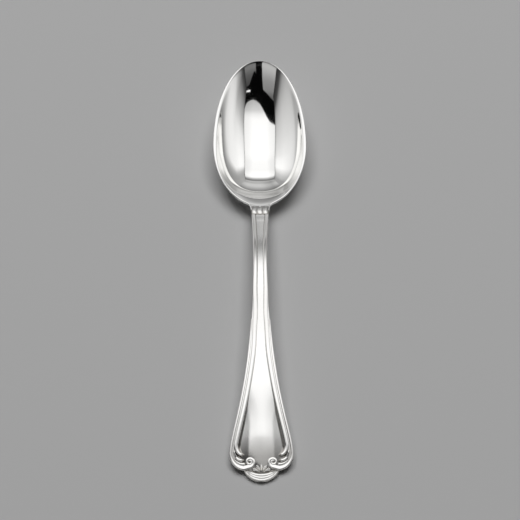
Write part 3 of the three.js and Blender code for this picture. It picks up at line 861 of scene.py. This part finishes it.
def build_collar(bm):
    rings = []
    for s in steps(collar_start, neck_s + COLLAR_OVERLAP, COLLAR_STEPS):
        along = (s - collar_start) / COLLAR_LENGTH
        swell = lerp(COLLAR_END, 1, math.sin(math.pi * along))
        half = neck_half_width(min(s, neck_s)) - COLLAR_INSET
        seat = lip_z(s) if s > neck_s else field_z(s)
        ring = []
        for u in BOSS_SHARES:
            boss = lerp(BOSS_VALLEY, 1, abs(math.cos(BOSS_COUNT / 2 * math.pi * u)))
            side = math.sqrt(max(0, 1 - abs(u) ** COLLAR_SIDE_POWER))
            ring.append(place(u * half, s, seat + COLLAR_RISE * swell * boss * side))
        ring += [place(half, s, seat - RELIEF_SINK), place(-half, s, seat - RELIEF_SINK)]
        rings.append(ring)
    loft(bm, rings)


# Tarnish and painted shade low in the raised work, and painted shade towards the handle's end
TARNISH_AND_SHADE = 0.9
TARNISH_AND_SHADE_FROM = 0.1
TARNISH_AND_SHADE_TO = 0.45
END_SHADE = 0.55
END_SHADE_FULL_S = 7
END_SHADE_START_S = 18


# Partly tarnish, partly painted shade: darker where raised work is low, near the field under it
def depth_in_relief(x, s, z):
    return TARNISH_AND_SHADE * (1 - smoothstep(z - field_z(s), TARNISH_AND_SHADE_FROM, TARNISH_AND_SHADE_TO))


# Painted shade: the handle's plain field is darker towards its end
def painted_end_shade(x, s, z):
    return END_SHADE * (1 - smoothstep(s, END_SHADE_FULL_S, END_SHADE_START_S))


# Silver plate: bright metal with fine wear, and a little tarnish and painted shade where the piece says it
# is recessed
PLATE_COLOUR = (0.94, 0.935, 0.92)
RELIEF_COLOUR = (0.94, 0.93, 0.91)
# Darker colours mixed in by the recess attribute: tarnish and painted shade, on the handle painted shade
# alone
BOWL_TARNISH_AND_SHADE = (0.5, 0.48, 0.44)
HANDLE_SHADE_COLOUR = (0.45, 0.43, 0.4)
RELIEF_TARNISH_AND_SHADE = (0.4, 0.38, 0.35)
BOWL_ROUGHNESS = 0.05
HANDLE_ROUGHNESS = 0.11
RELIEF_ROUGHNESS = 0.08
WEAR_SCALE = 60
WEAR_DETAIL = 3
WEAR_LOW = 0.35
WEAR_HIGH = 0.7
WEAR_GLOSSY = 0.7  # roughness of the least worn patches, as a share of the plate's own
WEAR_DULL = 1.4
SCRATCH_SCALE = (2600, 260, 2600)  # long along the spoon
SCRATCH_DETAIL = 2
SCRATCH_STRENGTH = 0.02
SCRATCH_DEPTH = 0.00002


def silver(name, base, tarnish_and_shade_colour, roughness):
    material = bpy.data.materials.new(name)
    material.use_nodes = True
    nodes, links = material.node_tree.nodes, material.node_tree.links
    shader = nodes["Principled BSDF"]
    shader.inputs["Metallic"].default_value = 1.0

    place_node = nodes.new("ShaderNodeTexCoord")
    cloud = nodes.new("ShaderNodeTexNoise")
    cloud.inputs["Scale"].default_value = WEAR_SCALE
    cloud.inputs["Detail"].default_value = WEAR_DETAIL
    links.new(place_node.outputs["Object"], cloud.inputs["Vector"])

    # The recess attribute mixes in the darker colour: tarnish and painted shade
    tarnish_and_shade_mask = nodes.new("ShaderNodeAttribute")
    tarnish_and_shade_mask.attribute_name = "recess"
    colour = nodes.new("ShaderNodeMix")
    colour.data_type = "RGBA"
    colour.inputs["A"].default_value = (*base, 1)
    colour.inputs["B"].default_value = (*tarnish_and_shade_colour, 1)
    links.new(tarnish_and_shade_mask.outputs["Fac"], colour.inputs["Factor"])
    links.new(colour.outputs["Result"], shader.inputs["Base Color"])

    gloss = nodes.new("ShaderNodeMapRange")
    gloss.inputs["From Min"].default_value = WEAR_LOW
    gloss.inputs["From Max"].default_value = WEAR_HIGH
    gloss.inputs["To Min"].default_value = roughness * WEAR_GLOSSY
    gloss.inputs["To Max"].default_value = roughness * WEAR_DULL
    links.new(cloud.outputs["Fac"], gloss.inputs["Value"])
    links.new(gloss.outputs["Result"], shader.inputs["Roughness"])

    stretch = nodes.new("ShaderNodeMapping")
    stretch.inputs["Scale"].default_value = SCRATCH_SCALE
    links.new(place_node.outputs["Object"], stretch.inputs["Vector"])
    scratch = nodes.new("ShaderNodeTexNoise")
    scratch.inputs["Scale"].default_value = 1
    scratch.inputs["Detail"].default_value = SCRATCH_DETAIL
    links.new(stretch.outputs["Vector"], scratch.inputs["Vector"])
    bump = nodes.new("ShaderNodeBump")
    bump.inputs["Strength"].default_value = SCRATCH_STRENGTH
    bump.inputs["Distance"].default_value = SCRATCH_DEPTH
    links.new(scratch.outputs["Fac"], bump.inputs["Height"])
    links.new(bump.outputs["Normal"], shader.inputs["Normal"])
    return material


bowl_silver = silver("bowl_silver", PLATE_COLOUR, BOWL_TARNISH_AND_SHADE, BOWL_ROUGHNESS)
handle_silver = silver("handle_silver", PLATE_COLOUR, HANDLE_SHADE_COLOUR, HANDLE_ROUGHNESS)
relief_silver = silver("relief_silver", RELIEF_COLOUR, RELIEF_TARNISH_AND_SHADE, RELIEF_ROUGHNESS)

# All pieces. A rib has its path, rise, squareness, steps, beads and sink, and is there on both sides
add_piece("bowl", bowl_silver, build_bowl)
# The handle carries painted shade towards its end
add_piece("handle", handle_silver, build_handle, painted_end_shade)
add_piece("neck_collar", relief_silver, build_collar, depth_in_relief)
add_piece("palmette", relief_silver, build_palmette, depth_in_relief)
add_piece("lobe_moulding", relief_silver, build_ripples, depth_in_relief)
outer_thread = outer_thread_path()
inner_thread = inner_thread_path()
upper_leaf = leaf_path(upper_leaf_end_radius, upper_leaf_start_angle, UPPER_LEAF_END_ANGLE)
lower_leaf = leaf_path(lower_leaf_end_radius, lower_leaf_start_angle, LOWER_LEAF_END_ANGLE)
RIBS = {
    "outer_thread": (outer_thread, OUTER_THREAD_RISE, OUTER_SQUARENESS, THREAD_STEPS, 0, RELIEF_SINK),
    "inner_thread": (inner_thread, INNER_THREAD_RISE, INNER_SQUARENESS, THREAD_STEPS, 0, INNER_THREAD_SINK),
    "upper_leaf": (upper_leaf, LEAF_RISE, LEAF_SQUARENESS, LEAF_STEPS, UPPER_LEAF_BEADS, RELIEF_SINK),
    "lower_leaf": (lower_leaf, LEAF_RISE, LEAF_SQUARENESS, LEAF_STEPS, 0, RELIEF_SINK),
}
for rib, (path, rise, squareness, count, beads, sink) in RIBS.items():
    for side_name, side in (("left", -1), ("right", 1)):
        build = build_rib(on_side(path, side), rise, squareness, count, beads, sink)
        add_piece(f"{rib}_{side_name}", relief_silver, build, depth_in_relief)


# Floor, light tent and world, in metres
TENT_STRENGTH = 1.06
TENT_HEIGHT = 0.5
TENT_HALF = 0.25
TENT_BACK = 0.45
TENT_FRONT = -0.6
SEAM = 0.004
UPPER_HEIGHT = 2.0
STUDIO_BLACK = 0.0015
STUDIO_GREY = 0.39
WHOLE_CARD = [(0, 0), (1, 0), (1, 1), (0, 1)]


def grey(level):
    return (level, level, level, 1)


def rectangle(left, right, near, far):
    return [(left, near), (right, near), (right, far), (left, far)]


def flat_mesh(name, corners, uvs):
    mesh = bpy.data.meshes.new(name + "_mesh")
    mesh.from_pydata(corners, [], [list(range(len(corners)))])
    layer = mesh.uv_layers.new(name="across")
    for loop, uv in zip(layer.data, uvs):
        loop.uv = uv
    thing = bpy.data.objects.new(name, mesh)
    bpy.context.scene.collection.objects.link(thing)
    return thing


def glow(name, strength, up, across=None):
    """Light that changes by (place, strength) stops along the card's second uv direction, and its first."""
    material = bpy.data.materials.new(name)
    material.use_nodes = True
    nodes, links = material.node_tree.nodes, material.node_tree.links
    nodes.clear()
    out = nodes.new("ShaderNodeOutputMaterial")
    emission = nodes.new("ShaderNodeEmission")
    uv = nodes.new("ShaderNodeUVMap")
    uv.uv_map = "across"
    split = nodes.new("ShaderNodeSeparateXYZ")
    links.new(uv.outputs["UV"], split.inputs["Vector"])

    def ramp(stops, direction):
        node = nodes.new("ShaderNodeValToRGB")
        elements = node.color_ramp.elements
        for i, (at, level) in enumerate(sorted(stops)):
            element = elements[i] if i < 2 else elements.new(at)
            element.position = at
            element.color = grey(level)
        links.new(split.outputs[direction], node.inputs["Fac"])
        return node.outputs["Color"]

    light = ramp(up, "Y")
    if across:
        both = nodes.new("ShaderNodeMix")
        both.data_type = "RGBA"
        both.blend_type = "MULTIPLY"
        both.inputs["Factor"].default_value = 1
        links.new(light, both.inputs["A"])
        links.new(ramp(across, "X"), both.inputs["B"])
        light = both.outputs["Result"]
    links.new(light, emission.inputs["Color"])
    emission.inputs["Strength"].default_value = strength
    links.new(emission.outputs["Emission"], out.inputs["Surface"])
    return material


def card(name, corners, uvs, up, across=None):
    thing = flat_mesh(name, corners, uvs)
    thing.data.materials.append(glow(name + "_light", TENT_STRENGTH, up, across))
    thing.visible_camera = False
    thing.visible_diffuse = False
    thing.visible_shadow = False


def along_y(y):
    return (y - TENT_FRONT) / (TENT_BACK - TENT_FRONT)


def level_card(name, z, corners, along, across=None):
    """A level card, lit along its depth and, if so told, across the tent."""
    points = [(x, y, z) for x, y in corners]
    uvs = [((x + TENT_HALF) / (2 * TENT_HALF), along_y(y)) for x, y in corners]
    card(name, points, uvs, [(along_y(y), light) for y, light in along], across)


def wall_card(name, x, front, low, high, along, up, lean=0):
    """Part of a side wall, lit along its depth and its height. Lean moves the light forward at its foot."""
    corners = [(x, y, z) for y, z in rectangle(front, TENT_BACK, low, high)]
    uvs = [(along_y(y + (lean if z == low else 0)), z / TENT_HEIGHT) for _, y, z in corners]
    card(name, corners, uvs, up, [(along_y(y), light) for y, light in along])


# The tent's roof and walls. Light is given as (place, strength) stops
ROOF_HALF = TENT_HALF - SEAM
ROOF_FRONT = [(-ROOF_HALF, -0.05), (-0.2, -0.057), (-0.15, -0.066), (-0.1, -0.083), (-0.05, -0.106),
              (0, -0.128), (0.05, -0.14), (0.1, -0.146), (0.15, -0.143), (0.2, -0.136), (0.23, -0.126),
              (ROOF_HALF, -0.11)]
ROOF_BACK = [(ROOF_HALF, TENT_BACK), (-ROOF_HALF, TENT_BACK)]
ROOF_LIGHT = [(-0.15, 0.45), (-0.128, 0.52), (-0.103, 0.64), (-0.091, 0.86), (-0.077, 1.0), (0.03, 1.1),
              (0.09, 1.0), (0.2, 0.98), (0.3, 1.1), (0.335, 1.0), (0.36, 0.6), (0.385, 0.36), (0.41, 0.24),
              (0.422, 0.17), (0.436, 0.3), (0.45, 0.5)]
ROOF_ACROSS = [(0, 0.82), (0.18, 0.9), (0.3, 1.0), (0.7, 1.0), (0.82, 0.9), (1, 0.82)]
level_card("roof", TENT_HEIGHT, ROOF_FRONT + ROOF_BACK, ROOF_LIGHT, ROOF_ACROSS)

LEFT_FRONT = -0.17
LEFT_LIGHT = [(LEFT_FRONT, 0.02), (-0.11, 0.06), (-0.07, 0.36), (-0.03, 0.54), (0.04, 0.74), (0.09, 0.94),
              (0.14, 1.0), (0.17, 1.0), (0.21, 0.8), (0.26, 0.6), (0.31, 0.5), (0.35, 0.36), (0.45, 0.34)]
LEFT_UP = [(0, 0.45), (0.12, 0.5), (0.18, 0.75), (0.28, 0.86), (0.44, 0.95), (0.54, 1.0), (0.84, 1.0),
           (0.94, 0.92), (1, 0.6)]
wall_card("wall_left", -TENT_HALF, LEFT_FRONT, 0, TENT_HEIGHT, LEFT_LIGHT, LEFT_UP)

WALL_MIDDLE = TENT_HEIGHT / 2
RIGHT_LEAN = 0.15
RIGHT_FRONT = -0.22
RIGHT_LIGHT = [(RIGHT_FRONT, 0.02), (-0.16, 0.08), (-0.11, 0.24), (-0.05, 0.46), (0, 0.8), (0.05, 0.95),
               (0.09, 1.0), (0.15, 1.0), (0.18, 0.78), (0.21, 0.54), (0.25, 0.42), (0.3, 0.38), (0.45, 0.4)]
RIGHT_UP = [(0, 0.4), (0.12, 0.45), (0.2, 0.72), (0.34, 0.84), (0.56, 0.94), (0.66, 1.0), (0.84, 1.0),
            (0.94, 0.92), (1, 0.6)]
wall_card("wall_right_foot", TENT_HALF, RIGHT_FRONT, 0, WALL_MIDDLE, RIGHT_LIGHT, RIGHT_UP, RIGHT_LEAN)
wall_card("wall_right", TENT_HALF, RIGHT_FRONT, WALL_MIDDLE, TENT_HEIGHT, RIGHT_LIGHT, RIGHT_UP)

BACK_UP = [(0, 0.25), (0.26, 0.25), (0.36, 0.29), (0.46, 0.41), (0.6, 0.57), (0.74, 0.6), (0.82, 0.5),
           (0.9, 0.42), (0.95, 0.5), (1, 0.55)]
BACK_ACROSS = [(0, 0.9), (0.1, 0.8), (0.2, 0.68), (0.35, 0.82), (0.5, 1.0), (0.8, 0.97), (0.95, 0.85),
               (1, 0.8)]
back_corners = [(x, TENT_BACK, z) for x, z in rectangle(-TENT_HALF, TENT_HALF, 0, TENT_HEIGHT)]
card("wall_back", back_corners, WHOLE_CARD, BACK_UP, BACK_ACROSS)

# Grey flaps and a small lamp at the tent's open front, and a wide card high above it
FLAP_LEFT = [(-0.45, -0.1), (-0.2, -0.155), (-0.06, -0.2), (-0.06, -0.3), (-0.075, -0.5), (-0.6, -0.5)]
FLAP_LEFT_LIGHT = [(-0.5, 0.5), (-0.4, 0.42), (-0.28, 0.27), (-0.2, 0.22), (-0.155, 0.1)]
FLAP_RIGHT = [(0.2, -0.25), (0.5, -0.18), (0.6, -0.5), (0.1, -0.5), (0.075, -0.36), (0.11, -0.4),
              (0.14, -0.38)]
FLAP_RIGHT_LIGHT = [(-0.5, 0.2), (-0.36, 0.1), (-0.2, 0.04)]
UPPER_FRONT = [(-1.0, -0.27), (-0.8, -0.29), (-0.4, -0.39), (-0.2, -0.45), (0, -0.5), (1.0, -0.5),
               (1.0, -0.02), (-1.0, -0.02)]
UPPER_FRONT_LIGHT = [(-0.5, 0.42), (-0.32, 0.52), (-0.21, 0.64), (-0.16, 0.84), (-0.1, 0.96)]
STRIP_LAMP = [(0.165, -0.206), (0.255, -0.206), (0.255, -0.196), (0.165, -0.192)]
STRIP_LAMP_LIGHT = [(-0.24, 1), (-0.22, 1)]
level_card("flap_left", TENT_HEIGHT, FLAP_LEFT, FLAP_LEFT_LIGHT)
level_card("flap_right", TENT_HEIGHT, FLAP_RIGHT, FLAP_RIGHT_LIGHT)
level_card("upper_front", UPPER_HEIGHT, UPPER_FRONT, UPPER_FRONT_LIGHT)
level_card("strip_lamp", TENT_HEIGHT, STRIP_LAMP, STRIP_LAMP_LIGHT)

# Black flags over the tent, dark through its seams and its front opening
COVER_HEIGHT = 0.51
COVER = rectangle(-0.27, 0.27, -0.03, 0.47)
FLAG_HEIGHT = 2.05
FLAG_FRONT = rectangle(-2, 1.3, -2.3, 0)
FLAG_LIGHT = [(0, STUDIO_BLACK), (1, STUDIO_BLACK)]


def flag(name, z, corners):
    card(name, [(x, y, z) for x, y in corners], [(0, 0)] * len(corners), FLAG_LIGHT)


flag("flag_cover", COVER_HEIGHT, COVER)
flag("flag_front", FLAG_HEIGHT, FLAG_FRONT)

# A broad, far softbox behind the spoon lights the floor alone
SOFTBOX_STRENGTH = 5.3
SOFTBOX_HEIGHT = 4
SOFTBOX_HALF = 2
SOFTBOX_NEAR = 1.0
SOFTBOX_FAR = 3.9
softbox_plan = rectangle(-SOFTBOX_HALF, SOFTBOX_HALF, SOFTBOX_NEAR, SOFTBOX_FAR)
softbox = flat_mesh("softbox", [(x, y, SOFTBOX_HEIGHT) for x, y in softbox_plan], WHOLE_CARD)
softbox.data.materials.append(glow("softbox_light", SOFTBOX_STRENGTH, [(0, 1), (1, 1)]))
softbox.visible_camera = False
softbox.visible_glossy = False

# Plain grey floor
FLOOR_GREY = 0.6
FLOOR_ROUGHNESS = 0.9
FLOOR_SHINE = 0.1
FLOOR_HALF = 0.6
FLOOR_NEAR = -0.7
FLOOR_FAR = 0.9
floor_plan = rectangle(-FLOOR_HALF, FLOOR_HALF, FLOOR_NEAR, FLOOR_FAR)
floor = flat_mesh("floor", [(x, y, 0) for x, y in floor_plan], WHOLE_CARD)
floor_paint = bpy.data.materials.new("floor_paint")
floor_paint.use_nodes = True
floor_shader = floor_paint.node_tree.nodes["Principled BSDF"]
floor_shader.inputs["Base Color"].default_value = grey(FLOOR_GREY)
floor_shader.inputs["Roughness"].default_value = FLOOR_ROUGHNESS
floor_shader.inputs["Specular IOR Level"].default_value = FLOOR_SHINE
floor.data.materials.append(floor_paint)

# World: grey where it is seen, directly or in the metal, and black as a light on the floor
scene = bpy.context.scene
world = bpy.data.worlds.new("studio")
scene.world = world
world.use_nodes = True
world_nodes, world_links = world.node_tree.nodes, world.node_tree.links
light_path = world_nodes.new("ShaderNodeLightPath")
tone = world_nodes.new("ShaderNodeMix")
tone.data_type = "RGBA"
tone.inputs["A"].default_value = grey(STUDIO_BLACK)
tone.inputs["B"].default_value = grey(STUDIO_GREY)
seen = light_path.outputs["Is Camera Ray"]
for ray in ("Is Glossy Ray", "Is Transmission Ray"):
    either = world_nodes.new("ShaderNodeMath")
    either.operation = "MAXIMUM"
    world_links.new(seen, either.inputs[0])
    world_links.new(light_path.outputs[ray], either.inputs[1])
    seen = either.outputs["Value"]
world_links.new(seen, tone.inputs["Factor"])
world_links.new(tone.outputs["Result"], world_nodes["Background"].inputs["Color"])

# Camera
CAMERA_ELEVATION = 66
CAMERA_DISTANCE = 0.65
CAMERA_AIM = Vector((-0.00013, 0.00283, 0.006))
CAMERA_ROLL = 0.31
FOCAL_PIXELS = 1775.25
IMAGE_PIXELS = 520
SENSOR = 36

elevation = math.radians(CAMERA_ELEVATION)
back = Vector((0, -math.cos(elevation), math.sin(elevation)))
camera_data = bpy.data.cameras.new("camera")
camera_data.sensor_width = SENSOR
camera_data.lens = SENSOR * FOCAL_PIXELS / IMAGE_PIXELS
camera = bpy.data.objects.new("camera", camera_data)
camera.location = CAMERA_AIM + CAMERA_DISTANCE * back
turn = (-back).to_track_quat("-Z", "Y").to_matrix() @ Matrix.Rotation(math.radians(-CAMERA_ROLL), 3, "Z")
camera.rotation_euler = turn.to_euler()
scene.collection.objects.link(camera)
scene.camera = camera
scene.view_settings.view_transform = "Standard"
